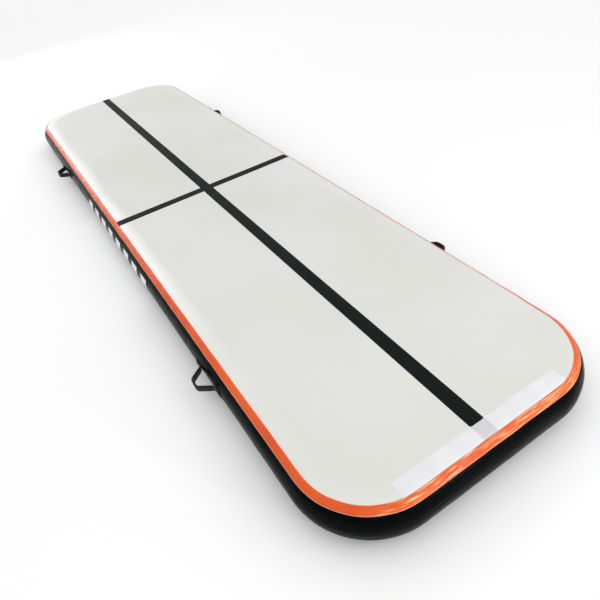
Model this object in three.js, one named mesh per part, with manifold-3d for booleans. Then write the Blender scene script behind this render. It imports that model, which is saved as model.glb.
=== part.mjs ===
// An inflatable air track mat, 3.66 m (12 ft) long, 1 m wide and 15 cm thick, with four handles and a valve.
// Millimetres, +Z up. X runs along the mat and Y across it. The origin is on the floor under its middle.
// The end at +X carries the white joining strip, and the end at -X carries the inflation valve.

import * as THREE from "three";
import Module from "manifold-3d";
import { mergeVertices } from "three/addons/utils/BufferGeometryUtils.js";

const wasm = await Module();
wasm.setup();

// ---- The inflated envelope ----

const LENGTH = 3660;
const WIDTH = 1000;
const THICKNESS = 150;
const MID_HEIGHT = THICKNESS / 2;
const CORNER_RADIUS = 250; // in plan, at the widest part of the wall
const EDGE_DEPTH = 51; // how far the rounded edge reaches in from the widest part
const EDGE_RINGS = 14; // outlines stacked from the bottom face to the top face
const CORNER_STEPS = 7; // segments in each rounded corner

// ---- Layers: [outer face, inner face] as distances outside the envelope ----

const LAYER = {
  sheet: [0, -1.2],
  outerWall: [0, -0.9],
  innerWall: [-1.5, -2.4],
  seamTape: [1.0, 0.3],
  print: [0.8, 0.3],
  endStrip: [1.6, 1.1],
  handlePatch: [1.3, 0.3],
  strapEnd: [3.9, 1.6],
};
const GAP = 0.3;
const SPARE = 10; // how far a cutting shape runs past what it cuts
const LAP = 1; // how deep one piece of a moulding runs into the next

// ---- Where each layer starts and stops ----

const TAPE_UPPER_Z = 149.5; // edge of the top seam tape on the white sheet
const TAPE_LOWER_Z = 134.8; // its edge on the black wall
const JOINT_Z = 142; // the butt joint of sheet and wall, hidden by the tape
const INNER_WALL_Z = 146; // the airtight inner wall laps behind the sheets up to here

const CENTRE_STRIPE_WIDTH = 50;
const CROSS_STRIPE_WIDTH = 46;
const END_STRIP = { fromX: 1738, halfLength: 291 }; // it runs on to the seam tape

const MARK = { count: 8, pitch: 118, width: 68, bottomZ: 40, topZ: 112, lean: 20 };

const THREAD = { rows: 9, pitch: 400, zigzags: 20, halfWidth: 430, thickness: 1.5, endGap: 2.2 };

// ---- Handles: a webbing loop that stands off the wall, its ends sewn to a patch ----

const HANDLE_X = { front_left: 1060, front_right: 1037, rear_left: -975, rear_right: -1040 };
const PATCH = { length: 210, height: 56, cornerRadius: 14 };
const WEBBING_WIDTH = 25;
const LOOP = { footX: 50, tipX: 20, reach: 50, bendRadius: 9, thickness: 7 }; // folded double to be thick
const FOOT = { start: 8, halfHeight: 5, fullAt: 18 }; // the webbing is pinched where it leaves the wall
const STRAP_END = { from: 57, to: 92 };

// ---- Valve: distances along its own axis, outwards from the face that it is clamped to ----

const VALVE = { y: 250, z: MID_HEIGHT, recess: 15, seatRadius: 30, holeRadius: 18.6 };
const VALVE_SEGMENTS = 28;
const BARREL = { inner: 14, outer: 18, from: -24, lipInner: 11, lipTo: -22 };
const FLANGE = { radius: 26, from: 2.1, to: 4.1 };
const NECK = { outer: 17, to: 9.5 };
const GUIDE = { inner: 3.0, outer: 5.5, from: -16, to: -12, ribs: 3, ribWidth: 2.4, ribLength: 10.5 };
const GASKET = { inner: 18.4, outer: 24, from: 0.3, to: 1.8 };
const NUT = { radius: 25.5, bore: 18.4, from: -6.7, to: -2.7 };
const STEM = { radius: 2.6, disc: 13, discFrom: -28, discTo: -26, button: 6, buttonFrom: 3, buttonTo: 6 };
const SEAL = { inner: 8, outer: 12.5, from: -25.7, to: -24.3 };
const SPRING = { from: -11.7, to: 2.7, radius: 4.2, wire: 0.5, turns: 5 };
const LEASH = { inner: 17.4, outer: 20.5, from: 4.4, to: 5.9, reach: 25.5, width: 6 };
const UPTURN = { thickness: 2, to: 6.9 };
const LEASH_ANGLE = Math.PI / 4;
const CAP = { inner: 17.5, outer: 20.5, from: 6.2, roof: 11, to: 13, chamfer: 1, earFrom: 7.2, earTo: 8.7 };
const GRIP = { length: 30, width: 4, from: 12.7, to: 14.9 };
const LINER = { inner: 11, outer: 17, from: 9.8, to: 10.7 };

// ---- Materials ----

const material = (color, roughness, metalness = 0) =>
  new THREE.MeshStandardMaterial({ color, roughness, metalness });

const FINISH = {
  whiteSheet: () => material(0xdcdcd8, 0.55),
  blackVinyl: () => material(0x0d1212, 0.25),
  innerVinyl: () => material(0x30343a, 0.5),
  orangeTape: () => material(0xf0642d, 0.25),
  blackPrint: () => material(0x1b2022, 0.45),
  whitePrint: () => material(0xf2f4f6, 0.4),
  whiteStrip: () => material(0xf0f0f5, 0.35),
  thread: () => material(0xe8e6df, 0.8),
  webbing: () => material(0x14171a, 0.75),
  valvePlastic: () => material(0x1a1c1f, 0.45),
  rubber: () => material(0x2a2a2c, 0.85),
  springSteel: () => material(0xb8bcc0, 0.3, 1),
};

const mat = new THREE.Group();

function addPart(name, solid, finish) {
  const part = new THREE.Mesh(geometryOf(solid), finish());
  part.name = name;
  mat.add(part);
}

// ---- Solids ----

function solidOf(geometry) {
  const bare = geometry.clone();
  bare.deleteAttribute("normal");
  bare.deleteAttribute("uv");
  const merged = mergeVertices(bare, 1e-4);
  return new wasm.Manifold(
    new wasm.Mesh({
      numProp: 3,
      vertProperties: new Float32Array(merged.attributes.position.array),
      triVerts: new Uint32Array(merged.index.array),
    }),
  );
}

function geometryOf(solid) {
  const mesh = solid.getMesh();
  const geometry = new THREE.BufferGeometry();
  geometry.setAttribute("position", new THREE.BufferAttribute(mesh.vertProperties, 3));
  geometry.setIndex(new THREE.BufferAttribute(mesh.triVerts, 1));
  geometry.computeVertexNormals();
  return geometry;
}

function block(low, high) {
  const size = new THREE.Vector3().subVectors(high, low);
  const middle = new THREE.Vector3().addVectors(low, high).multiplyScalar(0.5);
  const box = new THREE.BoxGeometry(size.x, size.y, size.z);
  return solidOf(box.translate(middle.x, middle.y, middle.z));
}

const slab = (lowZ, highZ) =>
  block(new THREE.Vector3(-LENGTH, -WIDTH, lowZ), new THREE.Vector3(LENGTH, WIDTH, highZ));

function rectangle(lowX, lowZ, highX, highZ) {
  const corners = [[lowX, lowZ], [highX, lowZ], [highX, highZ], [lowX, highZ]];
  return new THREE.Shape(corners.map(([x, z]) => new THREE.Vector2(x, z)));
}

/** A shape drawn in the XZ plane and extruded across the wall on one side of the mat (side is -1 or 1). */
function wallPunch(shape, side) {
  const depth = 150;
  const punch = new THREE.ExtrudeGeometry(shape, { depth, bevelEnabled: false, curveSegments: 4 });
  punch.rotateX(Math.PI / 2);
  punch.translate(0, (side * WIDTH) / 2 + depth / 2, 0);
  return solidOf(punch);
}

// ---- The envelope: rounded-rectangle outlines stacked along the edge's cross-section ----

function outline(inset) {
  const radius = CORNER_RADIUS - inset;
  const cornerX = LENGTH / 2 - CORNER_RADIUS;
  const cornerY = WIDTH / 2 - CORNER_RADIUS;
  const points = [];
  for (let corner = 0; corner < 4; corner++) {
    const signX = corner === 0 || corner === 3 ? 1 : -1;
    const signY = corner < 2 ? 1 : -1;
    for (let step = 0; step <= CORNER_STEPS; step++) {
      const angle = (corner + step / CORNER_STEPS) * (Math.PI / 2);
      const x = signX * cornerX + radius * Math.cos(angle);
      const y = signY * cornerY + radius * Math.sin(angle);
      points.push(new THREE.Vector2(x, y));
    }
  }
  return points;
}

/** The edge's half-elliptical cross-section at one angle, moved outwards by an offset. */
function edgeSection(angle, offset) {
  const outward = Math.max(Math.cos(angle), 0);
  const upward = Math.sin(angle);
  const normal = new THREE.Vector2(outward / EDGE_DEPTH, upward / MID_HEIGHT).normalize();
  return {
    inset: EDGE_DEPTH * (1 - outward) - offset * normal.x,
    z: MID_HEIGHT * (1 + upward) + offset * normal.y,
  };
}

function envelope(offset) {
  const positions = [];
  for (let ring = 0; ring <= EDGE_RINGS; ring++) {
    const section = edgeSection((ring / EDGE_RINGS - 0.5) * Math.PI, offset);
    for (const point of outline(section.inset)) positions.push(point.x, point.y, section.z);
  }
  const perRing = positions.length / 3 / (EDGE_RINGS + 1);
  const bottomCentre = positions.length / 3;
  const topCentre = bottomCentre + 1;
  positions.push(0, 0, -offset, 0, 0, THICKNESS + offset);

  const faces = [];
  for (let i = 0; i < perRing; i++) {
    const next = (i + 1) % perRing;
    for (let ring = 0; ring < EDGE_RINGS; ring++) {
      const low = ring * perRing;
      const high = low + perRing;
      faces.push(low + i, low + next, high + next, low + i, high + next, high + i);
    }
    const top = EDGE_RINGS * perRing;
    faces.push(bottomCentre, next, i, topCentre, top + i, top + next);
  }
  const geometry = new THREE.BufferGeometry();
  geometry.setAttribute("position", new THREE.Float32BufferAttribute(positions, 3));
  geometry.setIndex(faces);
  return solidOf(geometry);
}

/** One layer of the skin all round, between two heights. */
function skin([outer, inner], lowZ, highZ) {
  return envelope(outer).subtract(envelope(inner)).intersect(slab(lowZ, highZ));
}

// ---- Side walls, drawn in to a flat round seat where the valve is clamped ----

/** Turns a profile of [radius, distance] points about the valve's axis. */
function turned(profile) {
  const points = profile.map(([radius, distance]) => new THREE.Vector2(radius, distance));
  return new THREE.LatheGeometry(points, VALVE_SEGMENTS);
}

function onValveAxis(geometry) {
  geometry.rotateZ(Math.PI / 2);
  geometry.translate(-LENGTH / 2 + VALVE.recess, VALVE.y, VALVE.z);
  return solidOf(geometry);
}

/** The space outside the wall in the valve's recess: a flat seat with a flare of 45 degrees. */
function valveRecess(depthBelowSeat) {
  const flare = 40;
  const radius = VALVE.seatRadius + depthBelowSeat * Math.tan(Math.PI / 8);
  const profile = [
    [0, -depthBelowSeat],
    [radius, -depthBelowSeat],
    [radius + flare, flare - depthBelowSeat],
    [0, flare - depthBelowSeat],
  ];
  return onValveAxis(turned(profile));
}

function sideWall([outer, inner], lowZ, highZ) {
  const outside = envelope(outer).subtract(valveRecess(-outer));
  const inside = envelope(inner).subtract(valveRecess(-inner));
  const through = 2 * (VALVE.recess + SPARE);
  const hole = new THREE.CylinderGeometry(VALVE.holeRadius, VALVE.holeRadius, through, VALVE_SEGMENTS);
  return outside.subtract(inside).intersect(slab(lowZ, highZ)).subtract(onValveAxis(hole));
}

addPart("top_sheet", skin(LAYER.sheet, JOINT_Z + GAP, THICKNESS + SPARE), FINISH.whiteSheet);
addPart("bottom_sheet", skin(LAYER.sheet, -SPARE, THICKNESS - JOINT_Z - GAP), FINISH.blackVinyl);
addPart("outer_side_wall", sideWall(LAYER.outerWall, THICKNESS - JOINT_Z, JOINT_Z), FINISH.blackVinyl);
addPart(
  "inner_side_wall",
  sideWall(LAYER.innerWall, THICKNESS - INNER_WALL_Z, INNER_WALL_Z),
  FINISH.innerVinyl,
);
addPart("top_seam_tape", skin(LAYER.seamTape, TAPE_LOWER_Z, TAPE_UPPER_Z), FINISH.orangeTape);
addPart(
  "bottom_seam_tape",
  skin(LAYER.seamTape, THICKNESS - TAPE_UPPER_Z, THICKNESS - TAPE_LOWER_Z),
  FINISH.blackVinyl,
);

// ---- Guide stripes and the white strip at one end ----

function stripe(layer, lowX, highX, lowY, highY) {
  const window = block(
    new THREE.Vector3(lowX, lowY, TAPE_UPPER_Z + GAP),
    new THREE.Vector3(highX, highY, THICKNESS + SPARE),
  );
  return envelope(layer[0]).subtract(envelope(layer[1])).intersect(window);
}

const halfCentre = CENTRE_STRIPE_WIDTH / 2;
const halfCross = CROSS_STRIPE_WIDTH / 2;
addPart("centre_stripe", stripe(LAYER.print, -LENGTH, LENGTH, -halfCentre, halfCentre), FINISH.blackPrint);
addPart(
  "cross_stripe_left",
  stripe(LAYER.print, -halfCross, halfCross, -WIDTH, -halfCentre - GAP),
  FINISH.blackPrint,
);
addPart(
  "cross_stripe_right",
  stripe(LAYER.print, -halfCross, halfCross, halfCentre + GAP, WIDTH),
  FINISH.blackPrint,
);
addPart(
  "end_strip",
  stripe(LAYER.endStrip, END_STRIP.fromX, LENGTH, -END_STRIP.halfLength, END_STRIP.halfLength),
  FINISH.whiteStrip,
);

// ---- Slanted white bars along the middle of the left wall ----

function sideMark(centreX) {
  const half = MARK.width / 2;
  const shape = new THREE.Shape([
    new THREE.Vector2(centreX - half - MARK.lean / 2, MARK.bottomZ),
    new THREE.Vector2(centreX + half - MARK.lean / 2, MARK.bottomZ),
    new THREE.Vector2(centreX + half + MARK.lean / 2, MARK.topZ),
    new THREE.Vector2(centreX - half + MARK.lean / 2, MARK.topZ),
  ]);
  return skin(LAYER.print, MARK.bottomZ, MARK.topZ).intersect(wallPunch(shape, -1));
}

for (let i = 0; i < MARK.count; i++) {
  const centreX = (i - (MARK.count - 1) / 2) * MARK.pitch;
  addPart(`side_mark_${i + 1}`, sideMark(centreX), FINISH.whitePrint);
}

// ---- Drop threads: each row runs up and down between the two sheets ----

/** A closed outline of even width along an open line of points. */
function ribbon(points, width) {
  const left = [];
  const right = [];
  points.forEach((point, i) => {
    const before = points[Math.max(i - 1, 0)];
    const after = points[Math.min(i + 1, points.length - 1)];
    const along = new THREE.Vector2().subVectors(after, before).normalize();
    const across = new THREE.Vector2(-along.y, along.x).multiplyScalar(width / 2);
    left.push(point.clone().add(across));
    right.unshift(point.clone().sub(across));
  });
  return new THREE.Shape([...left, ...right]);
}

function threadRow(x) {
  const points = [];
  for (let i = 0; i <= THREAD.zigzags; i++) {
    const y = -THREAD.halfWidth + (i * 2 * THREAD.halfWidth) / THREAD.zigzags;
    points.push(new THREE.Vector2(y, i % 2 ? THICKNESS - THREAD.endGap : THREAD.endGap));
  }
  const row = new THREE.ExtrudeGeometry(ribbon(points, THREAD.thickness), {
    depth: THREAD.thickness,
    bevelEnabled: false,
  });
  row.rotateX(Math.PI / 2);
  row.rotateZ(Math.PI / 2);
  row.translate(x, 0, 0);
  return solidOf(row);
}

for (let i = 0; i < THREAD.rows; i++) {
  const x = (i - (THREAD.rows - 1) / 2) * THREAD.pitch;
  addPart(`drop_thread_row_${i + 1}`, threadRow(x), FINISH.thread);
}

// ---- Handles ----

function roundedRectangle(centreX, centreZ, length, height, radius) {
  const x = centreX - length / 2;
  const z = centreZ - height / 2;
  const shape = new THREE.Shape();
  shape.moveTo(x + radius, z);
  shape.lineTo(x + length - radius, z);
  shape.absarc(x + length - radius, z + radius, radius, -Math.PI / 2, 0, false);
  shape.lineTo(x + length, z + height - radius);
  shape.absarc(x + length - radius, z + height - radius, radius, 0, Math.PI / 2, false);
  shape.lineTo(x + radius, z + height);
  shape.absarc(x + radius, z + height - radius, radius, Math.PI / 2, Math.PI, false);
  shape.lineTo(x, z + radius);
  shape.absarc(x + radius, z + radius, radius, Math.PI, 1.5 * Math.PI, false);
  return shape;
}

function onWall([outer, inner], shape, side) {
  return envelope(outer).subtract(envelope(inner)).intersect(wallPunch(shape, side));
}

/** The loop's centre line in plan, from one foot round the tip to the other, measured out from the wall. */
function loopLine() {
  const corners = [
    new THREE.Vector2(-LOOP.footX, FOOT.start),
    new THREE.Vector2(-LOOP.tipX, LOOP.reach),
    new THREE.Vector2(LOOP.tipX, LOOP.reach),
    new THREE.Vector2(LOOP.footX, FOOT.start),
  ];
  const points = [corners[0]];
  for (const i of [1, 2]) {
    const towards = (other) => new THREE.Vector2().subVectors(other, corners[i]).setLength(LOOP.bendRadius);
    const start = corners[i].clone().add(towards(corners[i - 1]));
    const end = corners[i].clone().add(towards(corners[i + 1]));
    points.push(...new THREE.QuadraticBezierCurve(start, corners[i], end).getPoints(4));
  }
  points.push(corners[3]);
  return points;
}

/** The webbing seen from the end of the mat: pinched at the foot and full width from there on. */
function loopSideProfile() {
  const half = WEBBING_WIDTH / 2;
  const far = LOOP.reach + SPARE;
  return new THREE.Shape([
    new THREE.Vector2(FOOT.start, -FOOT.halfHeight),
    new THREE.Vector2(FOOT.fullAt, -half),
    new THREE.Vector2(far, -half),
    new THREE.Vector2(far, half),
    new THREE.Vector2(FOOT.fullAt, half),
    new THREE.Vector2(FOOT.start, FOOT.halfHeight),
  ]);
}

function handleLoop(x, side) {
  const place = (geometry) => {
    if (side < 0) geometry.rotateZ(Math.PI);
    geometry.translate(x, (side * WIDTH) / 2, MID_HEIGHT);
    return solidOf(geometry);
  };
  const band = new THREE.ExtrudeGeometry(ribbon(loopLine(), LOOP.thickness), {
    depth: WEBBING_WIDTH + 2 * SPARE,
    bevelEnabled: false,
  });
  band.translate(0, 0, -WEBBING_WIDTH / 2 - SPARE);
  const length = 2 * (LOOP.footX + SPARE);
  const profile = new THREE.ExtrudeGeometry(loopSideProfile(), { depth: length, bevelEnabled: false });
  profile.rotateX(Math.PI / 2);
  profile.rotateZ(Math.PI / 2);
  profile.translate(-length / 2, 0, 0);
  return place(band).intersect(place(profile));
}

function addHandle(name, x, side) {
  const patch = roundedRectangle(x, MID_HEIGHT, PATCH.length, PATCH.height, PATCH.cornerRadius);
  addPart(`${name}_patch`, onWall(LAYER.handlePatch, patch, side), FINISH.blackVinyl);
  const lowZ = MID_HEIGHT - WEBBING_WIDTH / 2;
  const highZ = MID_HEIGHT + WEBBING_WIDTH / 2;
  const frontEnd = rectangle(x + STRAP_END.from, lowZ, x + STRAP_END.to, highZ);
  const rearEnd = rectangle(x - STRAP_END.to, lowZ, x - STRAP_END.from, highZ);
  addPart(`${name}_strap_end_front`, onWall(LAYER.strapEnd, frontEnd, side), FINISH.webbing);
  addPart(`${name}_strap_end_rear`, onWall(LAYER.strapEnd, rearEnd, side), FINISH.webbing);
  addPart(`${name}_loop`, handleLoop(x, side), FINISH.webbing);
}

for (const [place, x] of Object.entries(HANDLE_X)) {
  addHandle(`handle_${place}`, x, place.endsWith("left") ? -1 : 1);
}

// ---- Valve ----

function plainRing({ inner, outer, from, to }) {
  const profile = [
    [inner, from],
    [outer, from],
    [outer, to],
    [inner, to],
    [inner, from],
  ];
  return turned(profile);
}

function valveBody() {
  const shell = [
    [BARREL.lipInner, BARREL.from],
    [BARREL.outer, BARREL.from],
    [BARREL.outer, FLANGE.from],
    [FLANGE.radius, FLANGE.from],
    [FLANGE.radius, FLANGE.to],
    [NECK.outer, FLANGE.to],
    [NECK.outer, NECK.to],
    [BARREL.inner, NECK.to],
    [BARREL.inner, BARREL.lipTo],
    [BARREL.lipInner, BARREL.lipTo],
    [BARREL.lipInner, BARREL.from],
  ];
  let body = solidOf(turned(shell));
  body = body.add(solidOf(plainRing(GUIDE)));
  for (let i = 0; i < GUIDE.ribs; i++) {
    const rib = new THREE.BoxGeometry(GUIDE.ribLength, GUIDE.to - GUIDE.from - 1, GUIDE.ribWidth);
    rib.translate(GUIDE.inner + LAP + GUIDE.ribLength / 2, (GUIDE.to + GUIDE.from) / 2, 0);
    rib.rotateY((i * 2 * Math.PI) / GUIDE.ribs);
    body = body.add(solidOf(rib));
  }
  return onValveAxis(geometryOf(body));
}

function valveStem() {
  const profile = [
    [0, STEM.discFrom],
    [STEM.disc, STEM.discFrom],
    [STEM.disc, STEM.discTo],
    [STEM.radius, STEM.discTo],
    [STEM.radius, STEM.buttonFrom],
    [STEM.button, STEM.buttonFrom],
    [STEM.button, STEM.buttonTo],
    [0, STEM.buttonTo],
  ];
  return onValveAxis(turned(profile));
}

/** An eight-sided ring nut, screwed on the barrel from inside the mat. */
function valveNut() {
  const height = NUT.to - NUT.from;
  const eightSided = new THREE.CylinderGeometry(NUT.radius, NUT.radius, height, 8);
  const bore = new THREE.CylinderGeometry(NUT.bore, NUT.bore, 2 * height, VALVE_SEGMENTS);
  const nut = solidOf(eightSided).subtract(solidOf(bore));
  return onValveAxis(geometryOf(nut).translate(0, (NUT.from + NUT.to) / 2, 0));
}

class SpringCurve extends THREE.Curve {
  getPoint(t, target = new THREE.Vector3()) {
    const angle = t * SPRING.turns * 2 * Math.PI;
    const start = SPRING.from + SPRING.wire;
    const rise = SPRING.to - SPRING.from - 2 * SPRING.wire;
    return target.set(SPRING.radius * Math.cos(angle), start + t * rise, SPRING.radius * Math.sin(angle));
  }
}

function valveSpring() {
  const section = new THREE.Shape();
  section.absarc(0, 0, SPRING.wire, 0, 2 * Math.PI, false);
  const wire = new THREE.ExtrudeGeometry(section, {
    steps: SPRING.turns * 12,
    curveSegments: 3,
    extrudePath: new SpringCurve(),
  });
  return onValveAxis(wire);
}

/** A bar reaching out from the valve's axis at the leash's angle. */
function leashBar(fromRadius, toRadius, from, to) {
  const bar = new THREE.BoxGeometry(toRadius - fromRadius, to - from, LEASH.width);
  bar.translate((fromRadius + toRadius) / 2, (from + to) / 2, 0);
  bar.rotateY(LEASH_ANGLE);
  return solidOf(bar);
}

function capLeash() {
  const arm = leashBar(LEASH.outer - LAP, LEASH.reach, LEASH.from, LEASH.to);
  const upturn = leashBar(LEASH.reach - UPTURN.thickness, LEASH.reach, LEASH.from, UPTURN.to);
  return onValveAxis(geometryOf(solidOf(plainRing(LEASH)).add(arm).add(upturn)));
}

function valveCap() {
  const profile = [
    [CAP.inner, CAP.from],
    [CAP.outer, CAP.from],
    [CAP.outer, CAP.to - CAP.chamfer],
    [CAP.outer - CAP.chamfer, CAP.to],
    [0, CAP.to],
    [0, CAP.roof],
    [CAP.inner, CAP.roof],
    [CAP.inner, CAP.from],
  ];
  const ear = leashBar(CAP.outer - LAP, LEASH.reach, CAP.earFrom, CAP.earTo);
  const grip = new THREE.BoxGeometry(GRIP.length, GRIP.to - GRIP.from, GRIP.width);
  grip.translate(0, (GRIP.from + GRIP.to) / 2, 0);
  grip.rotateY(LEASH_ANGLE);
  return onValveAxis(geometryOf(solidOf(turned(profile)).add(ear).add(solidOf(grip))));
}

addPart("valve_body", valveBody(), FINISH.valvePlastic);
addPart("valve_gasket", onValveAxis(plainRing(GASKET)), FINISH.rubber);
addPart("valve_nut", valveNut(), FINISH.valvePlastic);
addPart("valve_stem", valveStem(), FINISH.valvePlastic);
addPart("valve_seal", onValveAxis(plainRing(SEAL)), FINISH.rubber);
addPart("valve_spring", valveSpring(), FINISH.springSteel);
addPart("cap_leash", capLeash(), FINISH.rubber);
addPart("valve_cap", valveCap(), FINISH.valvePlastic);
addPart("cap_liner", onValveAxis(plainRing(LINER)), FINISH.rubber);

export default mat;
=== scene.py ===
"""The looks of the air track mat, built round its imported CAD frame.

Metres, +Z up. X runs along the mat, and the white strip is at the +X end. Y runs across it, and the
origin is on the floor under its middle.
"""

import math

import bpy
import numpy as np
from mathutils import Matrix, Vector, noise


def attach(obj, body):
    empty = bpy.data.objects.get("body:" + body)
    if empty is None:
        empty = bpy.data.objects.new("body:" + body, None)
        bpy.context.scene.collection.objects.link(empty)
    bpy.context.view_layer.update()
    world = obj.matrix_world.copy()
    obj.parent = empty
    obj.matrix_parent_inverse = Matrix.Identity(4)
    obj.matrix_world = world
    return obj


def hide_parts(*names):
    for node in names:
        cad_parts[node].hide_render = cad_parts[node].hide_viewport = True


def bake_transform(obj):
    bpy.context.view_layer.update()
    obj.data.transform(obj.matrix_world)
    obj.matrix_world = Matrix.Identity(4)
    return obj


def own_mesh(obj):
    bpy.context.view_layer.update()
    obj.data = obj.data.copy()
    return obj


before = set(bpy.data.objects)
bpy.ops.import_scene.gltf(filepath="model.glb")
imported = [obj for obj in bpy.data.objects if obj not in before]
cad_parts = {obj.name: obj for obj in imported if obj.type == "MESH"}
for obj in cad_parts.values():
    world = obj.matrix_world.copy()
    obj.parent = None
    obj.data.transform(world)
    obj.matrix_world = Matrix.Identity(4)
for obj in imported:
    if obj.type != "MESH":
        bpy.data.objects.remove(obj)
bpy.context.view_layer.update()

# ---- The inflated envelope ----

HALF_LENGTH = 1.83
HALF_WIDTH = 0.5
THICKNESS = 0.15
CORNER_RADIUS = 0.25
EDGE_DEPTH = 0.051  # how far the half-elliptical edge reaches in from the widest part
STRAIGHT_X = 2 * (HALF_LENGTH - CORNER_RADIUS)
STRAIGHT_Y = 2 * (HALF_WIDTH - CORNER_RADIUS)
QUARTER = CORNER_RADIUS * math.pi / 2
PERIMETER = 2 * (STRAIGHT_X + STRAIGHT_Y) + 4 * QUARTER

# ---- Layers, as distances outside the envelope, and the seam tape's edges as angles of the section ----

PRINT_LIFT = 0.0006
STRIP_LIFT = 0.0013
MARK_LIFT = 0.0014
TAPE_LIFT = 0.0013
WALL_HEIGHT = 0.165  # of the outer wall's strip, laid flat
TAPE_UPPER = 1.387
TAPE_LOWER = 0.912
TAPE_LOWERED = 0.20  # how much lower its upper edge is on the right and far shoulders
TAPE_WIDTH = 0.027
TAPE_INSET = 0.0417  # of the tape's upper edge, seen from above
SHEET_INSET = 0.022  # of the sheets' edges, which end under the tapes
SHEET_STEP = 0.008
UNDER_TAPE = 0.006  # how far the stripes run on under the tape

STRIPE_HALF = 0.025
CROSS_HALF = 0.023
STITCHED_FIELD = (0.060, 0.100)  # inset over which the smooth border gives way to stitched fabric
END_STRIP = {"x": (1.738, 1.7925), "half_length": 0.292}
MARKS = {"count": 8, "pitch": 0.118, "width": 0.068, "z": (0.040, 0.112), "lean": 0.020}

HANDLES = {"front_left": 1.060, "front_right": 1.037, "rear_left": -0.975, "rear_right": -1.040}
PATCH = {"half_length": 0.105, "half_height": 0.028, "corner": 0.014}
WEBBING = {"width": 0.025, "sewn": 0.0022, "folded": 0.007}
SEWN_OUT = 0.0032  # from the wall to the middle of the sewn-down webbing
VALVE = Vector((-HALF_LENGTH + 0.015, 0.25, THICKNESS / 2))
SEAT_RADIUS = 0.030
NECK_HOLE = 0.019
VALVE_ZONE = 0.06  # how far from the far end the wall can dip towards the valve's seat
SPRING = {"from": -0.0117, "to": 0.0027, "radius": 0.0042, "wire": 0.0005, "turns": 5}


# ---- Shape of the envelope ----


def section(angle):
    """Inset, height and outward normal (out, up) of the rounded edge, at an angle above its widest line."""
    inset = EDGE_DEPTH * (1 - np.cos(angle))
    height = THICKNESS / 2 * (1 + np.sin(angle))
    out = np.cos(angle) / EDGE_DEPTH
    up = np.sin(angle) / (THICKNESS / 2)
    size = np.hypot(out, up)
    return inset, height, out / size, up / size


def outline(distance):
    """Points and outward normals of the widest outline in plan, anticlockwise from the left wall's rear."""
    distance = np.mod(distance, PERIMETER)
    points = np.zeros((len(distance), 2))
    normals = np.zeros((len(distance), 2))
    done = 0.0
    for leg in range(4):
        turn = (leg - 1) * math.pi / 2
        outward = np.array([math.cos(turn), math.sin(turn)])
        along = np.array([-outward[1], outward[0]])
        straight = STRAIGHT_X if leg % 2 == 0 else STRAIGHT_Y
        reach = HALF_WIDTH if leg % 2 == 0 else HALF_LENGTH
        here = distance - done
        on = (here >= 0) & (here <= straight)
        points[on] = outward * reach + along * (here[on] - straight / 2)[:, None]
        normals[on] = outward
        done += straight
        here = distance - done
        on = (here > 0) & (here < QUARTER)
        angle = turn + here[on] / CORNER_RADIUS
        centre = outward * (reach - CORNER_RADIUS) + along * straight / 2
        normals[on] = np.stack([np.cos(angle), np.sin(angle)], axis=1)
        points[on] = centre + normals[on] * CORNER_RADIUS
        done += QUARTER
    return points, normals


def inset_of(x, y):
    """How far inside the widest outline a point in plan is, and the outward direction there."""
    beyond_x = np.abs(x) - (HALF_LENGTH - CORNER_RADIUS)
    beyond_y = np.abs(y) - (HALF_WIDTH - CORNER_RADIUS)
    corner = (beyond_x > 0) & (beyond_y > 0)
    radial = np.hypot(np.maximum(beyond_x, 0), np.maximum(beyond_y, 0))
    inset = CORNER_RADIUS - np.where(corner, radial, np.maximum(beyond_x, beyond_y))
    size = np.maximum(radial, 1e-9)
    to_end = beyond_x > beyond_y
    out_x = np.where(corner, beyond_x / size, to_end) * np.sign(x)
    out_y = np.where(corner, beyond_y / size, ~to_end) * np.sign(y)
    return inset, out_x, out_y


def edge_height(inset):
    """Height of the top face at a distance inside the outline."""
    cosine = np.clip((EDGE_DEPTH - inset) / EDGE_DEPTH, 0, 1)
    return THICKNESS / 2 * (1 + np.sqrt(1 - cosine**2))


def ripple(points, size, seed=0.0):
    """Smooth noise between about -1 and 1; size is that of one bump along each axis."""
    scaled = np.asarray(points, float) / np.asarray(size, float) + seed
    return np.array([noise.noise(p) for p in scaled.tolist()]) * 1.6


def pucker(x, y):
    """The gathers that the seam puts into the skin beside it, from -1 to 1 round the outline."""
    points = np.stack([x, y, np.zeros(len(x))], axis=1)
    return 0.65 * ripple(points, 0.055, 3.7) + 0.35 * ripple(points, 0.021, 9.1)


def relief(x, y):
    """How far the skin stands off its even shape on top: slow waves, and gathers that fade inwards."""
    inset, out_x, out_y = inset_of(x, y)
    slow = ripple(np.stack([x, y, np.zeros(len(x))], axis=1), 0.22, 1.3)
    gathers = pucker(x + out_x * inset, y + out_y * inset)
    fade = np.exp(-np.maximum(inset - TAPE_INSET, 0) / 0.03)
    return 0.00035 * slow * (1 - fade) + 0.0007 * gathers * fade


def on_top(x, y, lift=0.0):
    """Points on the top face, moved out from the skin by lift."""
    inset, out_x, out_y = inset_of(x, y)
    height = edge_height(inset)
    step = 0.0005
    slope = (edge_height(inset + step) - edge_height(inset - step)) / (2 * step)
    size = np.sqrt(1 + slope**2)
    off = (relief(x, y) + lift) / size
    return np.stack([x + out_x * slope * off, y + out_y * slope * off, height + off], axis=1)


def seat_depth(y, z):
    """X of the wall's recess at the valve: a flat seat, then a flare."""
    away = np.hypot(y - VALVE.y, z - VALVE.z)
    return VALVE.x - np.maximum(away - SEAT_RADIUS, 0)


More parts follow.
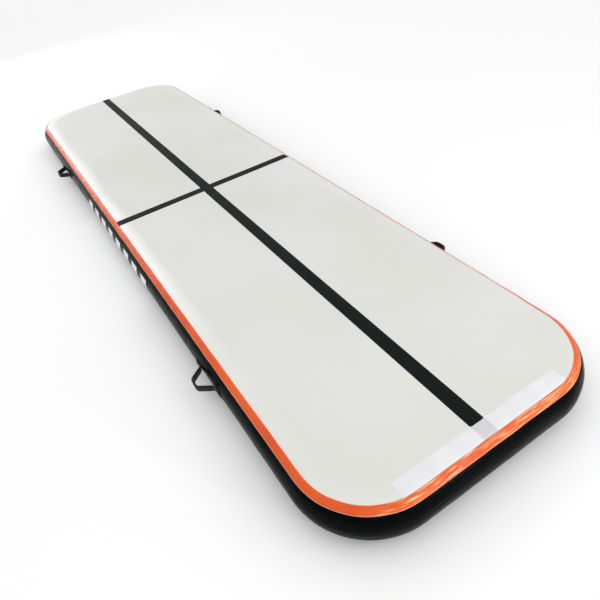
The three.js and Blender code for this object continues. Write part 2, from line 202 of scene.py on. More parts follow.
def on_wall(distance, angle, lift=0.0):
    """Points on the side wall, at distances round the outline and angles of its section."""
    base, outward = outline(distance)
    inset, height, out, up = section(angle)
    plan = base - outward * inset[:, None]
    points = np.column_stack([plan, height])
    direction = np.column_stack([outward * out[:, None], up])
    seam = np.clip((np.abs(angle) - 0.45) / 0.4, 0, 1)
    waves = ripple(np.column_stack([base, height]), (0.16, 0.16, 0.05), 5.5)
    creases = ripple(np.column_stack([base, height]), (0.11, 0.11, 0.010), 2.2)
    gathers = pucker(base[:, 0], base[:, 1])
    swell = 0.0006 * waves * (1 - seam) + 0.00025 * creases + 0.0007 * gathers * seam
    points = points + direction * (swell + lift)[:, None]
    at_valve = points[:, 0] < -HALF_LENGTH + VALVE_ZONE
    seat = seat_depth(points[:, 1], points[:, 2])
    points[:, 0] = np.where(at_valve, np.maximum(points[:, 0], seat), points[:, 0])
    return points


# ---- Meshes ----


def grid_faces(rows, columns, wrap=False):
    """Faces of a grid of points numbered row by row; wrap joins the last row to the first."""
    count = rows if wrap else rows - 1
    row, column = np.meshgrid(np.arange(count), np.arange(columns - 1), indexing="ij")
    here = row * columns + column
    there = (row + 1) % rows * columns + column
    return np.stack([here, there, there + 1, here + 1], axis=-1).reshape(-1, 4)


def tube_faces(rows, columns):
    """Faces of a tube of points numbered ring by ring, open at both ends."""
    row, column = np.meshgrid(np.arange(rows - 1), np.arange(columns), indexing="ij")
    here = row * columns + column
    beside = row * columns + (column + 1) % columns
    return np.stack([here, beside, beside + columns, here + columns], axis=-1).reshape(-1, 4)


def make(name, points, faces, material, smooth=True, uv=None):
    mesh = bpy.data.meshes.new(name)
    mesh.from_pydata(np.asarray(points).tolist(), [], np.asarray(faces).tolist())
    if smooth:
        mesh.shade_smooth()
    if uv is not None:
        layer = mesh.uv_layers.new(name="UVMap")
        corners = np.zeros(len(mesh.loops), np.int32)
        mesh.loops.foreach_get("vertex_index", corners)
        layer.data.foreach_set("uv", np.asarray(uv, np.float32)[corners].ravel())
    piece = bpy.data.objects.new(name, mesh)
    bpy.context.scene.collection.objects.link(piece)
    piece.data.materials.append(material)
    return piece


def place(piece, body, slot, *nodes):
    """Puts a finished piece on its CAD body, in place of the CAD nodes it stands for."""
    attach(piece, body)
    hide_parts(*nodes)
    return piece


# ---- Materials ----


class Shader:
    """A material with one Principled BSDF, and short calls that add to its node tree."""

    def __init__(self, name, roughness, specular, sheen=0.0, coat=0.0, metallic=0.0):
        self.material = bpy.data.materials.new(name)
        self.material.use_nodes = True
        self.tree = self.material.node_tree
        self.surface = self.tree.nodes["Principled BSDF"]
        self.surface.inputs["Roughness"].default_value = roughness
        self.surface.inputs["Specular IOR Level"].default_value = specular
        self.surface.inputs["Sheen Weight"].default_value = sheen
        self.surface.inputs["Coat Weight"].default_value = coat
        self.surface.inputs["Metallic"].default_value = metallic
        self.place = self.node("ShaderNodeTexCoord")

    def node(self, kind, inputs=None, **settings):
        made = self.tree.nodes.new(kind)
        for key, value in settings.items():
            setattr(made, key, value)
        for key, value in (inputs or {}).items():
            if isinstance(value, bpy.types.NodeSocket):
                self.tree.links.new(value, made.inputs[key])
            else:
                made.inputs[key].default_value = value
        return made

    def noise(self, scale, detail=3.0, stretch=(1, 1, 1), coordinates="Object"):
        mapped = self.node(
            "ShaderNodeMapping", {"Vector": self.place.outputs[coordinates], "Scale": stretch}
        )
        made = self.node(
            "ShaderNodeTexNoise",
            {"Vector": mapped.outputs["Vector"], "Scale": scale, "Detail": detail},
        )
        return made.outputs["Fac"]

    def waves(self, period, direction, coordinates="Object"):
        made = self.node(
            "ShaderNodeTexWave",
            {"Vector": self.place.outputs[coordinates], "Scale": 1 / period / 3.2, "Distortion": 0.3},
            bands_direction=direction,
        )
        return made.outputs["Fac"]

    def math(self, operation, a, b=0.0):
        return self.node("ShaderNodeMath", {0: a, 1: b}, operation=operation).outputs["Value"]

    def ramp(self, value, low, high, start=0.0, end=1.0):
        made = self.node("ShaderNodeMapRange", {"Value": value, "From Min": low, "From Max": high})
        made.inputs["To Min"].default_value = start
        made.inputs["To Max"].default_value = end
        return made.outputs["Result"]

    def mix(self, factor, a, b):
        made = self.node("ShaderNodeMix", data_type="RGBA")
        for socket, value in ((made.inputs[0], factor), (made.inputs[6], a), (made.inputs[7], b)):
            if isinstance(value, bpy.types.NodeSocket):
                self.tree.links.new(value, socket)
            else:
                socket.default_value = value
        return made.outputs[2]

    def color(self, value):
        if isinstance(value, bpy.types.NodeSocket):
            self.tree.links.new(value, self.surface.inputs["Base Color"])
        else:
            self.surface.inputs["Base Color"].default_value = value

    def roughness(self, value):
        self.tree.links.new(value, self.surface.inputs["Roughness"])

    def bumps(self, *layers):
        """Each layer is (height, depth in metres)."""
        normal = None
        for height, depth in layers:
            inputs = {"Height": height, "Distance": depth, "Strength": 1.0}
            if normal is not None:
                inputs["Normal"] = normal
            normal = self.node("ShaderNodeBump", inputs).outputs["Normal"]
        self.tree.links.new(normal, self.surface.inputs["Normal"])


def rgb(red, green, blue):
    """A colour from 0 to 255 steps of sRGB, as the linear colour that a shader takes."""
    linear = [
        v / 12.92 if v <= 0.04045 else ((v + 0.055) / 1.055) ** 2.4
        for v in (red / 255, green / 255, blue / 255)
    ]
    return (*linear, 1.0)


def fabric_grain(look):
    """The cloth that shows faintly through a thin vinyl coating."""
    return look.math("MULTIPLY", look.waves(0.0016, "X"), look.waves(0.0016, "Y"))


def coated_fabric(name, base, shade, border, roughness, specular):
    """Drop-stitch fabric, whose border outside the stitched field is smoother and has its own faint paler
    tint; along the left side and the far part of the mat that tint is strengthened into a painted highlight
    of the light its shoulder catches.
    """
    look = Shader(name, roughness, specular)
    cloud = look.ramp(look.noise(2.2, 4), 0.35, 0.65)
    inset = look.node("ShaderNodeSeparateXYZ", {0: look.place.outputs["UV"]}).outputs["Y"]
    ragged = look.math("ADD", inset, look.ramp(look.noise(4.0, 2), 0.3, 0.7, -0.008, 0.008))
    spot = look.node("ShaderNodeSeparateXYZ", {0: look.place.outputs["Object"]})
    # Painted highlight: the border is much paler along the left side and away from the near end, where the
    # shoulder catches the light; elsewhere it keeps only a faint tint.
    left = look.ramp(spot.outputs["Y"], -0.30, -0.20, 1.0, 0.15)
    rear = look.ramp(spot.outputs["X"], 0.5, 1.1, 1.0, 0.15)
    outside = look.ramp(ragged, *STITCHED_FIELD, 1.0, 0.0)
    border_highlight = look.math("MULTIPLY", outside, look.math("MULTIPLY", left, rear))
    look.color(look.mix(border_highlight, look.mix(cloud, shade, base), border))
    worn = look.ramp(look.noise(9.0, 5), 0.3, 0.7, -0.06, 0.08)
    look.roughness(look.math("ADD", worn, look.ramp(ragged, *STITCHED_FIELD, roughness - 0.14, roughness)))
    threads = look.math("MULTIPLY", look.waves(0.009, "X"), look.waves(0.009, "Y"))
    look.bumps((fabric_grain(look), 0.00008), (threads, 0.00010), (look.noise(700, 2), 0.00005))
    return look.material


def glossy_vinyl(name, base, shade, roughness, specular):
    look = Shader(name, roughness, specular)
    look.color(look.mix(look.ramp(look.noise(6.0, 4), 0.35, 0.7), base, shade))
    look.roughness(look.ramp(look.noise(24.0, 5), 0.3, 0.7, roughness - 0.05, roughness + 0.12))
    creases = look.noise(14.0, 4, (1, 1, 5))
    look.bumps((creases, 0.0016), (fabric_grain(look), 0.00005), (look.noise(900, 2), 0.00003))
    return look.material


def tape_vinyl():
    """Orange tape with pale welded borders and painted cream highlight streaks near the near end; its
    wrinkles run along it, so they use its UVs in metres.
    """
    look = Shader("orange_tape", 0.22, 0.35, coat=0.1)
    look.surface.inputs["Coat Roughness"].default_value = 0.1
    base = look.mix(look.ramp(look.noise(5.0, 4), 0.35, 0.65), rgb(222, 76, 10), rgb(236, 92, 16))
    across = look.node("ShaderNodeSeparateXYZ", {0: look.place.outputs["UV"]}).outputs["Y"]
    middle = look.math("ABSOLUTE", look.math("SUBTRACT", across, TAPE_WIDTH / 2))
    border = look.ramp(middle, 0.445 * TAPE_WIDTH, 0.485 * TAPE_WIDTH)
    along = look.node("ShaderNodeSeparateXYZ", {0: look.place.outputs["Object"]})
    # Painted highlight: cream streaks along the wrinkles near the near end, where the tape catches the light.
    glints_near_end = look.ramp(along.outputs["X"], HALF_LENGTH - 0.085, HALF_LENGTH - 0.045)
    glint_patches = look.ramp(look.noise(1.0, 2, (9, 30, 1), "UV"), 0.40, 0.62)
    creases = look.ramp(look.noise(1.0, 3, (16, 420, 1), "UV"), 0.50, 0.60)
    painted_glints = look.math("MULTIPLY", look.math("MULTIPLY", glints_near_end, glint_patches), creases)
    orange = look.mix(painted_glints, base, rgb(252, 214, 150))
    look.color(look.mix(border, orange, rgb(250, 204, 160)))
    look.roughness(look.ramp(look.noise(40.0, 4), 0.3, 0.7, 0.14, 0.34))
    wrinkles = look.noise(1.0, 4, (14, 190, 1), "UV")
    crumples = look.noise(1.0, 4, (60, 130, 1), "UV")
    look.bumps((wrinkles, 0.0022), (crumples, 0.0010), (fabric_grain(look), 0.00004))
    return look.material


def printed(name, base, shade, roughness):
    look = Shader(name, roughness, 0.1)
    look.color(look.mix(look.ramp(look.noise(30.0, 4), 0.35, 0.65), base, shade))
    look.roughness(look.ramp(look.noise(15.0, 4), 0.3, 0.7, roughness - 0.06, roughness + 0.1))
    look.bumps((fabric_grain(look), 0.00006), (look.noise(800, 2), 0.00003))
    return look.material


def see_through_strip():
    """White film, greyer over the black stripe that it crosses."""
    look = Shader("white_strip", 0.4, 0.15)
    film = look.mix(look.ramp(look.noise(18.0, 4), 0.35, 0.65), rgb(229, 229, 233), rgb(235, 235, 238))
    across = look.node("ShaderNodeSeparateXYZ", {0: look.place.outputs["Object"]}).outputs["Y"]
    over_stripe = look.ramp(look.math("ABSOLUTE", across), STRIPE_HALF - 0.0015, STRIPE_HALF + 0.0015)
    look.color(look.mix(over_stripe, rgb(210, 210, 214), film))
    look.bumps((look.noise(160, 3), 0.00010), (fabric_grain(look), 0.00005))
    return look.material


def webbing_weave():
    """Herringbone of the woven strap, laid along its UVs in metres."""
    look = Shader("webbing", 0.72, 0.25, sheen=0.15)
    look.color(look.mix(look.noise(60.0, 3), rgb(8, 10, 11), rgb(19, 21, 23)))
    ribs = look.waves(0.0022, "DIAGONAL", "UV")
    rows = look.waves(0.0016, "X", "UV")
    look.bumps((ribs, 0.00030), (rows, 0.00020), (look.noise(1500, 2), 0.00006))
    return look.material


def moulded(name, base, shade, roughness, specular=0.4):
    look = Shader(name, roughness, specular)
    look.color(look.mix(look.noise(40.0, 3), base, shade))
    look.roughness(look.ramp(look.noise(120.0, 4), 0.3, 0.7, roughness - 0.06, roughness + 0.1))
    look.bumps((look.noise(1400, 3), 0.00004))
    return look.material


def drawn_steel():
    look = Shader("spring_steel", 0.3, 0.5, metallic=1.0)
    look.color(look.mix(look.noise(300, 3), rgb(160, 162, 166), rgb(198, 200, 204)))
    look.bumps((look.noise(2500, 2, (1, 6, 6)), 0.00003))
    return look.material


def twisted_yarn():
    look = Shader("drop_thread", 0.85, 0.2, sheen=0.3)
    look.color(look.mix(look.noise(500, 3), rgb(222, 220, 210), rgb(240, 238, 230)))
    look.bumps((look.waves(0.0012, "DIAGONAL"), 0.0002))
    return look.material


# The third colour is the border's: a faint paler tint, which along the left and far shoulders becomes a
# painted highlight.
WHITE_SHEET = coated_fabric(
    "white_coated_fabric", rgb(224, 224, 220), rgb(219, 219, 213), rgb(246, 246, 245), 0.5, 0.3
)
BLACK_SHEET = coated_fabric(
    "black_coated_fabric", rgb(24, 26, 28), rgb(18, 20, 21), rgb(20, 22, 24), 0.6, 0.3
)
BLACK_VINYL = glossy_vinyl("black_vinyl", rgb(4, 7, 7), rgb(7, 10, 11), 0.2, 0.02)
INNER_VINYL = glossy_vinyl("inner_vinyl", rgb(46, 50, 56), rgb(58, 62, 68), 0.5, 0.3)
ORANGE = tape_vinyl()
BLACK_PRINT = printed("black_print", rgb(9, 13, 12), rgb(15, 19, 18), 0.45)
WHITE_PRINT = printed("white_print", rgb(240, 242, 245), rgb(228, 231, 235), 0.4)
WHITE_STRIP = see_through_strip()
STRAP = webbing_weave()
STITCHES = moulded("stitch_thread", rgb(70, 73, 78), rgb(92, 95, 100), 0.7, 0.2)
VALVE_PLASTIC = moulded("valve_plastic", rgb(27, 29, 32), rgb(34, 36, 40), 0.38)
RUBBER = moulded("valve_rubber", rgb(38, 38, 40), rgb(48, 48, 50), 0.7, 0.25)
STEEL = drawn_steel()
YARN = twisted_yarn()


# ---- Top and bottom sheets ----


def sheet_grid(spacing, least_inset):
    """A square grid of points in plan and its faces, kept to what is inside the outline."""
    nx = round(2 * HALF_LENGTH / spacing) + 1
    ny = round(2 * HALF_WIDTH / spacing) + 1
    x, y = np.meshgrid(
        np.linspace(-HALF_LENGTH, HALF_LENGTH, nx),
        np.linspace(-HALF_WIDTH, HALF_WIDTH, ny),
        indexing="ij",
    )
    x, y = x.ravel(), y.ravel()
    inside = inset_of(x, y)[0] >= least_inset
    faces = grid_faces(nx, ny)
    faces = faces[inside[faces].all(axis=1)]
    used, numbers = np.unique(faces, return_inverse=True)
    return x[used], y[used], numbers.reshape(-1, 4)


def top_sheet():
    x, y, faces = sheet_grid(SHEET_STEP, SHEET_INSET)
    uv = np.stack([x, inset_of(x, y)[0]], axis=1)
    sheet = make("top_skin", on_top(x, y), faces, WHITE_SHEET, uv=uv)
    place(sheet, "mat", "white_coated_fabric", "top_sheet")


def bottom_sheet():
    x, y, faces = sheet_grid(SHEET_STEP, SHEET_INSET)
    inset = inset_of(x, y)[0]
    points = np.stack([x, y, THICKNESS - edge_height(inset)], axis=1)
    sheet = make("bottom_skin", points, faces[:, ::-1], BLACK_SHEET, uv=np.stack([x, inset], axis=1))
    place(sheet, "mat", "black_coated_fabric", "bottom_sheet")


# ---- Side wall and seam tapes ----


def band(step, angles, width):
    """Distances and angles of a closed strip round the mat, with its faces and its UVs in metres."""
    rows = round(PERIMETER / step)
    distance, angle = np.meshgrid(
        np.arange(rows) * PERIMETER / rows, angles, indexing="ij"
    )
    across = np.tile(np.linspace(0, width, len(angles)), rows)
    uv = np.stack([distance.ravel(), across], axis=1)
    return distance.ravel(), angle.ravel(), grid_faces(rows, len(angles), wrap=True), uv


def side_wall():
    reach = TAPE_LOWER + 0.12
    distance, angle, faces, uv = band(0.005, np.linspace(-reach, reach, 36), WALL_HEIGHT)
    points = on_wall(distance, angle)
    away = np.hypot(points[:, 1] - VALVE.y, points[:, 2] - VALVE.z)
    under_valve = (points[:, 0] < -HALF_LENGTH + VALVE_ZONE) & (away < NECK_HOLE)
    faces = faces[~under_valve[faces].any(axis=1)]
    wall = make("side_wall_skin", points, faces, BLACK_VINYL, uv=uv)
    place(wall, "mat", "black_vinyl", "outer_side_wall")


def set_low(base):
    """How far towards its lowered place the top tape is: 0 along the left and near shoulders, 1 elsewhere."""
    right = np.clip((base[:, 1] - 0.30) / 0.18, 0, 1) * np.clip((1.62 - base[:, 0]) / 0.25, 0, 1)
    far = np.clip((-HALF_LENGTH + 0.12 - base[:, 0]) / 0.10, 0, 1)
    return np.maximum(right, far)


def seam_tape(name, sign, node, material, slot):
    """A welded tape over the shoulder; sign is 1 for the top seam and -1 for the bottom one."""
    angles = sign * np.linspace(TAPE_LOWER, TAPE_UPPER, 12)
    distance, angle, faces, uv = band(0.003, angles, TAPE_WIDTH)
    base = outline(distance)[0]
    wander = ripple(np.column_stack([base, angle]), (0.07, 0.07, 5.0), 7.7)
    angle = angle + 0.010 * wander
    if sign > 0:
        span = (angle - TAPE_LOWER) / (TAPE_UPPER - TAPE_LOWER)
        angle = angle - span * TAPE_LOWERED * set_low(base)
    rim = np.minimum(uv[:, 1], TAPE_WIDTH - uv[:, 1]) < 0.0001
    crumple = ripple(np.column_stack([base, angle * 0.05]), (0.03, 0.03, 0.006), 4.4)
    lift = np.where(rim, 0.0002, TAPE_LIFT + 0.0004 * crumple)
    points = on_wall(distance, angle, lift)
    if sign > 0:
        faces = faces[:, ::-1]
    tape = make(name, points, faces, material, uv=uv)
    place(tape, "mat", slot, node)


# ---- Prints and strip ----


def top_patch(name, x_range, y_range, lift, material, least_inset=0.0):
    """A thin rectangle that lies on the top face; where it would pass least_inset it follows the outline."""
    nx = max(2, round((x_range[1] - x_range[0]) / 0.006))
    ny = max(2, round((y_range[1] - y_range[0]) / 0.006))
    x, y = np.meshgrid(np.linspace(*x_range, nx), np.linspace(*y_range, ny), indexing="ij")
    edge = np.zeros((nx, ny), bool)
    edge[[0, -1], :] = True
    edge[:, [0, -1]] = True
    if least_inset > 0:
        farthest = HALF_LENGTH - CORNER_RADIUS + corner_reach(y, CORNER_RADIUS - least_inset)
        share = (x - x_range[0]) / (x_range[1] - x_range[0])
        x = x_range[0] + share * (np.minimum(x_range[1], farthest) - x_range[0])
    points = on_top(x.ravel(), y.ravel(), lift)
    points[edge.ravel(), 2] -= lift * 0.9
    return make(name, points, grid_faces(nx, ny), material)


def corner_reach(y, radius):
    """How far beyond the corners' centres an outline of this corner radius reaches along the mat."""
    beyond = np.maximum(np.abs(y) - (HALF_WIDTH - CORNER_RADIUS), 0)
    return np.sqrt(np.maximum(radius**2 - beyond**2, 0))


def stripes():
    end = HALF_LENGTH - TAPE_INSET + UNDER_TAPE
    long = top_patch(
        "long_guide_stripe", (-end, end), (-STRIPE_HALF, STRIPE_HALF), PRINT_LIFT, BLACK_PRINT
    )
    place(long, "mat", "black_print", "centre_stripe")
    side = HALF_WIDTH - TAPE_INSET + UNDER_TAPE
    for name, span in (("left", (-side, -STRIPE_HALF)), ("right", (STRIPE_HALF, side))):
        cross = top_patch(
            f"cross_guide_stripe_{name}", (-CROSS_HALF, CROSS_HALF), span, PRINT_LIFT, BLACK_PRINT
        )
        place(cross, "mat", "black_print", f"cross_stripe_{name}")
    half = END_STRIP["half_length"]
    under = TAPE_INSET - 0.004
    strip = top_patch("joining_film", END_STRIP["x"], (-half, half), STRIP_LIFT, WHITE_STRIP, under)
    place(strip, "mat", "white_strip", "end_strip")


def wall_angle(height):
    """Angle of the section where the wall reaches a height."""
    return np.arcsin((height - THICKNESS / 2) / (THICKNESS / 2))


def left_wall_distance(x):
    return x + STRAIGHT_X / 2


def side_marks():
    low, high = MARKS["z"]
    for number in range(MARKS["count"]):
        centre = (number - (MARKS["count"] - 1) / 2) * MARKS["pitch"]
        u, v = np.meshgrid(np.linspace(-0.5, 0.5, 17), np.linspace(0, 1, 21), indexing="ij")
        u, v = u.ravel(), v.ravel()
        x = centre + u * MARKS["width"] + (v - 0.5) * MARKS["lean"]
        points = on_wall(left_wall_distance(x), wall_angle(low + v * (high - low)), MARK_LIFT)
        mark = make(f"slanted_bar_{number + 1}", points, grid_faces(17, 21), WHITE_PRINT)
        place(mark, "mat", "white_print", f"side_mark_{number + 1}")


# ---- Handles ----


def wall_side(x, side):
    """Distance round the outline of a place on the left (-1) or right (1) wall."""
    if side < 0:
        return left_wall_distance(x)
    return STRAIGHT_X + QUARTER + STRAIGHT_Y + QUARTER + STRAIGHT_X / 2 - x


def handle_patch(name, x, side):
    """The vinyl patch welded to the wall under a handle, thin at its rim."""
    rows, columns = 43, 17
    u, v = np.meshgrid(np.linspace(-1, 1, rows), np.linspace(-1, 1, columns), indexing="ij")
    u, v = u.ravel(), v.ravel()
    in_corner = np.clip((np.abs(v) - 0.5) * 2, 0, 1)
    reach_x = PATCH["half_length"] - PATCH["corner"] * (1 - np.sqrt(1 - in_corner**2))
    local_x = u * reach_x
    z = THICKNESS / 2 + v * PATCH["half_height"]
    rim = np.maximum(np.abs(u), np.abs(v))
    lift = np.where(rim > 0.99, 0.0001, 0.0012 - 0.0005 * np.exp(-(((rim - 0.93) / 0.02) ** 2)))
    points = on_wall(wall_side(x + local_x, side), wall_angle(z), lift)
    faces = grid_faces(rows, columns)
    patch = make(f"{name}_welded_patch", points, faces if side > 0 else faces[:, ::-1], BLACK_VINYL)
    place(patch, "mat", "black_vinyl", f"{name}_patch")


def strap_route():
    """The webbing's middle line seen from above: along the wall, out round the loop, and back."""
    corners = [(-0.092, SEWN_OUT), (-0.056, SEWN_OUT), (-0.050, 0.0090), (-0.020, 0.050)]
    corners += [(-x, out) for x, out in reversed(corners)]
    radii = [0, 0.012, 0.007, 0.010, 0.010, 0.007, 0.012, 0]
    line = [np.array(corners[0])]
    for i in range(1, len(corners) - 1):
        here = np.array(corners[i])
        before = np.array(corners[i - 1]) - here
        after = np.array(corners[i + 1]) - here
        reach = min(radii[i], 0.45 * np.hypot(*before), 0.45 * np.hypot(*after))
        start = here + before / np.hypot(*before) * reach
        end = here + after / np.hypot(*after) * reach
        for t in np.linspace(0, 1, 7):
            line.append((1 - t) ** 2 * start + 2 * t * (1 - t) * here + t**2 * end)
    line.append(np.array(corners[-1]))
    line = np.array(line)
    along = np.concatenate([[0], np.cumsum(np.hypot(*np.diff(line, axis=0).T))])
    even = np.linspace(0, along[-1], 150)
    return np.stack([np.interp(even, along, line[:, k]) for k in (0, 1)], axis=1), even


def strap_outline():
    """The webbing's section, as shares of its half width and half thickness, with slimmer rounded edges."""
    across = np.array([-1.0, -0.93, -0.8, -0.5, 0.0, 0.5, 0.8, 0.93, 1.0])
    full = np.array([0.25, 0.75, 1.0, 1.0, 1.0, 1.0, 1.0, 0.75, 0.25])
    upper = np.stack([across[::-1], full], axis=1)
    lower = np.stack([across, -full], axis=1)
    return np.concatenate([upper, lower])


def strap(name, x, side):
    """One length of webbing, sewn down at both ends, that bends between the mat and the loop."""
    route, even = strap_route()
    tangent = np.gradient(route, axis=0)
    tangent /= np.hypot(*tangent.T)[:, None]
    normal = np.stack([-tangent[:, 1], tangent[:, 0]], axis=1)
    section_points = strap_outline()
    z = section_points[:, 0] * WEBBING["width"] / 2
    wall_inset = section(wall_angle(THICKNESS / 2 + z))[0]
    points, uv = [], []
    for (along, out), (normal_x, normal_out), length in zip(route, normal, even, strict=True):
        free = np.clip((out - 0.004) / 0.010, 0, 1)
        thickness = WEBBING["sewn"] + (WEBBING["folded"] - WEBBING["sewn"]) * free
        off = section_points[:, 1] * thickness / 2
        place_x = x + along + normal_x * off
        place_y = side * (HALF_WIDTH + out - wall_inset * (1 - free) + normal_out * off)
        points.append(np.stack([place_x, place_y, THICKNESS / 2 + z], axis=1))
        uv.append(np.stack([np.full(len(z), length), z + 0.03 * (off > 0)], axis=1))
    faces = tube_faces(len(route), len(z))
    if side < 0:
        faces = faces[:, ::-1]
    webbing = make(f"{name}_webbing", np.concatenate(points), faces, STRAP, uv=np.concatenate(uv))
    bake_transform(webbing)
    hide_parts(f"{name}_loop", f"{name}_strap_end_front", f"{name}_strap_end_rear")


def stitch_lines():
    """Middles and directions of the stitches: a box with a cross in it on each sewn end."""
    stitches = []
    for end in (-1, 1):
        a, b = end * 0.062, end * 0.088
        low, high = -0.009, 0.009
        runs = [((a, low), (b, low)), ((a, high), (b, high)), ((a, low), (a, high)), ((b, low), (b, high))]
        runs += [((a, low), (b, high)), ((a, high), (b, low))]
        for (x0, z0), (x1, z1) in runs:
            length = math.hypot(x1 - x0, z1 - z0)
            count = round(length / 0.0034)
            for k in range(count):
                t = (k + 0.5) / count
                stitches.append((x0 + (x1 - x0) * t, z0 + (z1 - z0) * t, math.atan2(z1 - z0, x1 - x0)))
    return stitches


def sewing(name, x, side):
    """All the stitches of one handle, as small rounded threads proud of the webbing."""
    points, faces = [], []
    for local_x, z, turn in stitch_lines():
        inset = section(wall_angle(THICKNESS / 2 + z))[0]
        face = HALF_WIDTH + SEWN_OUT + WEBBING["sewn"] / 2 - inset
        start = len(points)
        for t, radius, proud in ((-1, 0.0, -0.0002), (-0.6, 1.0, 0.0), (0.6, 1.0, 0.0), (1, 0.0, -0.0002)):
            for k in range(6):
                angle = k * math.pi / 3
                across = radius * 0.00045 * math.cos(angle)
                lift = proud + radius * 0.00045 * math.sin(angle)
                along = t * 0.0013
                px = local_x + along * math.cos(turn) - across * math.sin(turn)
                pz = z + along * math.sin(turn) + across * math.cos(turn)
                points.append((x + px, side * (face + lift), THICKNESS / 2 + pz))
        for row in range(3):
            for k in range(6):
                a, b = start + row * 6 + k, start + row * 6 + (k + 1) % 6
                faces.append((a, b, b + 6, a + 6))
    thread = make(f"{name}_stitches", points, faces, STITCHES)
    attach(thread, "mat")


def handles():
    for corner, x in HANDLES.items():
        name = f"handle_{corner}"
        side = -1 if corner.endswith("left") else 1
        handle_patch(name, x, side)
        strap(name, x, side)
        sewing(name, x, side)


# ---- Valve: profiles are (radius, distance outwards from the seat), in millimetres ----


def turned(name, profile, material, steps=72):
    """A profile turned about the valve's axis."""
    rows = []
    for k in range(steps):
        angle = 2 * math.pi * k / steps
        for radius, out in profile:
            rows.append(
                (
                    VALVE.x - out / 1000,
                    VALVE.y + radius / 1000 * math.cos(angle),
                    VALVE.z + radius / 1000 * math.sin(angle),
                )
            )
    piece = make(name, rows, grid_faces(steps, len(profile), wrap=True), material)
    soften(piece)
    return piece


def soften(piece, width=0.0004):
    """Small rounded edges, with the large faces left flat."""
    merge = piece.modifiers.new("merge", "WELD")
    merge.merge_threshold = 1e-6
    bevel = piece.modifiers.new("bevel", "BEVEL")
    bevel.width = width
    bevel.segments = 2
    bevel.limit_method = "ANGLE"
    bevel.angle_limit = math.radians(35)
    bevel.harden_normals = True


def valve_shell():
    profile = [(11, -24), (18, -24), (18, 0.4), (25.4, 0.6), (26, 1.2), (26, 3.4), (25.2, 4.1), (17, 4.1)]
    profile += [(17, 9.1), (16.6, 9.5), (14.4, 9.5), (14, 9.1), (14, -22), (11, -22), (11, -24)]
    body = turned("valve_housing", profile, VALVE_PLASTIC)
    place(body, "mat", "valve_plastic", "valve_body")


def box_points(low, high):
    corners = [(x, y, z) for x in (low[0], high[0]) for y in (low[1], high[1]) for z in (low[2], high[2])]
    faces = [(0, 1, 3, 2), (4, 6, 7, 5), (0, 4, 5, 1), (2, 3, 7, 6), (0, 2, 6, 4), (1, 5, 7, 3)]
    return corners, faces


def join(main, *others):
    """Joins finished meshes into the first one."""
    bpy.ops.object.select_all(action="DESELECT")
    for piece in (main, *others):
        piece.select_set(True)
    bpy.context.view_layer.objects.active = main
    bpy.ops.object.join()
    return main


def valve_cap():
    profile = [(17.5, 6.2), (20.1, 6.2), (20.5, 6.6), (20.5, 12.2), (19.7, 13.0), (0.01, 13.0)]
    cap = turned("valve_screw_cap", profile, VALVE_PLASTIC)
    inside = turned("cap_inside", [(0.01, 11), (17.5, 11), (17.5, 6.2)], VALVE_PLASTIC)
    ribs = []
    for k in range(30):
        corners, faces = box_points((-0.0061, 0.0203, -0.0006), (0.0000, 0.0209, 0.0006))
        turn = Matrix.Rotation(2 * math.pi * k / 30, 4, "X")
        shift = Matrix.Translation(VALVE + Vector((-0.0064, 0, 0)))
        placed = [shift @ turn @ Vector(c) for c in corners]
        ribs.append(make(f"rib_{k}", placed, faces, VALVE_PLASTIC, smooth=False))
    corners, faces = box_points((-0.0149, -0.0165, -0.0032), (-0.0128, 0.0165, 0.0032))
    grip = make("grip", [VALVE + Vector(c) for c in corners], faces, VALVE_PLASTIC, smooth=False)
    place(join(cap, inside, grip, *ribs), "screw_cap", "valve_plastic", "valve_cap")


def valve_spring():
    """A coil between its seat and the button, closed to a point at each end."""
    steps, around = 240, 10
    along = np.linspace(0, 1, steps)
    turn = 2 * math.pi * SPRING["turns"] * along
    free_length = SPRING["to"] - SPRING["from"]
    out = SPRING["from"] + SPRING["wire"] + along * (free_length - 2 * SPRING["wire"])
    radial = np.stack([np.zeros(steps), np.cos(turn), np.sin(turn)], axis=1)
    middle = np.array(VALVE) + radial * SPRING["radius"]
    middle[:, 0] -= out
    tangent = np.gradient(middle, axis=0)
    tangent /= np.linalg.norm(tangent, axis=1)[:, None]
    side = np.cross(tangent, radial)
    wire = np.full(steps, SPRING["wire"])
    wire[[0, -1]] = 0
    points = []
    for k in range(around):
        angle = 2 * math.pi * k / around
        points.append(middle + (radial * math.cos(angle) + side * math.sin(angle)) * wire[:, None])
    rings = np.stack(points, axis=1).reshape(-1, 3)
    coil = make("coil_spring", rings, tube_faces(steps, around), STEEL)
    place(coil, "mat", "spring_steel", "valve_spring")
    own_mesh(coil)


def finish_cad_nodes():
    """Carried-over CAD nodes keep their shape and get their real material."""
    looks = {
        "inner_side_wall": INNER_VINYL,
        "valve_nut": VALVE_PLASTIC,
        "valve_stem": VALVE_PLASTIC,
        "valve_gasket": RUBBER,
        "valve_seal": RUBBER,
        "cap_liner": RUBBER,
        "cap_leash": RUBBER,
    }
    for name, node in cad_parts.items():
        look = YARN if name.startswith("drop_thread_row") else looks.get(name)
        if look is None:
            continue
        node.data.materials.clear()
        node.data.materials.append(look)


# ---- Stage, light and camera ----


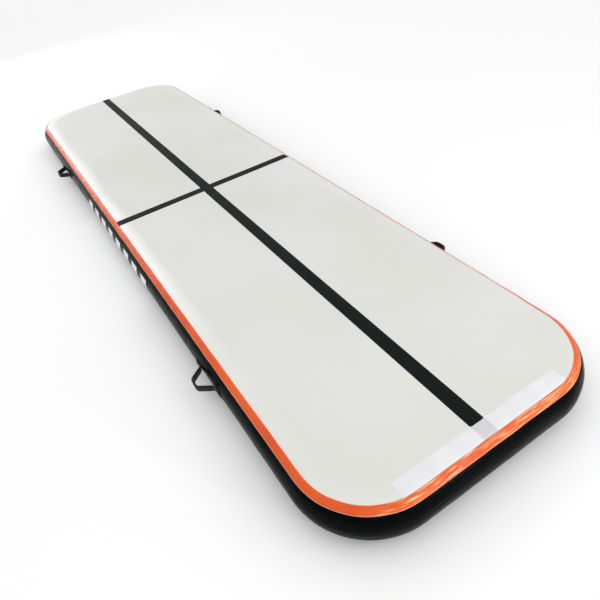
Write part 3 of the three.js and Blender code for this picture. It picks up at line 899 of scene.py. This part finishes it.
def stage():
    size = 40
    corners = [(-size, -size), (size, -size), (size, size), (-size, size)]
    look = Shader("pale_floor", 0.7, 0.1)
    look.color(look.mix(look.noise(0.8, 2), rgb(253, 253, 253), rgb(254, 254, 254)))
    floor = make("floor", [(x, y, -0.0006) for x, y in corners], [(0, 1, 2, 3)], look.material, smooth=False)
    world = bpy.data.worlds.new("soft_studio")
    bpy.context.scene.world = world
    world.use_nodes = True
    tree = world.node_tree
    direction = tree.nodes.new("ShaderNodeTexCoord")
    split = tree.nodes.new("ShaderNodeSeparateXYZ")
    sky = tree.nodes.new("ShaderNodeMapRange")
    tree.links.new(direction.outputs["Generated"], split.inputs[0])
    tree.links.new(split.outputs["Z"], sky.inputs["Value"])
    for name, value in (("From Min", 0.05), ("From Max", 0.5), ("To Min", 0.35), ("To Max", 1.02)):
        sky.inputs[name].default_value = value
    tree.links.new(sky.outputs["Result"], tree.nodes["Background"].inputs["Strength"])
    tree.nodes["Background"].inputs["Color"].default_value = (1.0, 1.0, 1.0, 1.0)


def softbox(name, location, target, along, size, power):
    """A rectangular light; along is the direction of its long side."""
    light = bpy.data.lights.new(name, "AREA")
    light.shape = "RECTANGLE"
    light.size, light.size_y = size
    light.energy = power
    lamp = bpy.data.objects.new(name, light)
    back = (Vector(location) - Vector(target)).normalized()
    side = (Vector(along) - back * back.dot(Vector(along))).normalized()
    turn = Matrix((side, back.cross(side), back)).transposed().to_4x4()
    lamp.matrix_world = Matrix.Translation(location) @ turn
    lamp.visible_camera = False
    bpy.context.scene.collection.objects.link(lamp)


def lights():
    softbox("end_softbox", (3.40, 1.68, 2.13), (1.80, 0.10, 0.15), (-0.31, 0.88, -0.38), (1.3, 0.2), 9)
    softbox("glint_light", (4.40, 0.95, 0.55), (1.80, -0.15, 0.12), (-0.4, 0.9, 0), (0.16, 0.06), 16)
    softbox("far_softbox", (-4.2, -1.1, 1.2), (-1.0, -0.45, 0.15), (0, 1, 0), (1.6, 0.5), 16)


def camera():
    """Looks down the mat from beyond its near left corner, tilted ten degrees."""
    location = Vector((2.2665, -0.7058, 1.3527))
    target = Vector((1.0125, -0.0966, 0.15))
    roll = -9.99
    data = bpy.data.cameras.new("camera")
    data.sensor_width = 36
    data.lens = 31.30
    data.clip_start, data.clip_end = 0.01, 200
    eye = bpy.data.objects.new("camera", data)
    aim = (target - location).to_track_quat("-Z", "Y").to_matrix().to_4x4()
    tilt = Matrix.Rotation(math.radians(roll), 4, "Z")
    eye.matrix_world = Matrix.Translation(location) @ aim @ tilt
    bpy.context.scene.collection.objects.link(eye)
    bpy.context.scene.camera = eye


bpy.context.scene.view_settings.view_transform = "Standard"
camera()
lights()
stage()
top_sheet()
bottom_sheet()
side_wall()
seam_tape("top_orange_tape", 1, "top_seam_tape", ORANGE, "orange_tape")
seam_tape("bottom_black_tape", -1, "bottom_seam_tape", BLACK_VINYL, "black_vinyl")
stripes()
side_marks()
handles()
valve_shell()
valve_cap()
valve_spring()
finish_cad_nodes()
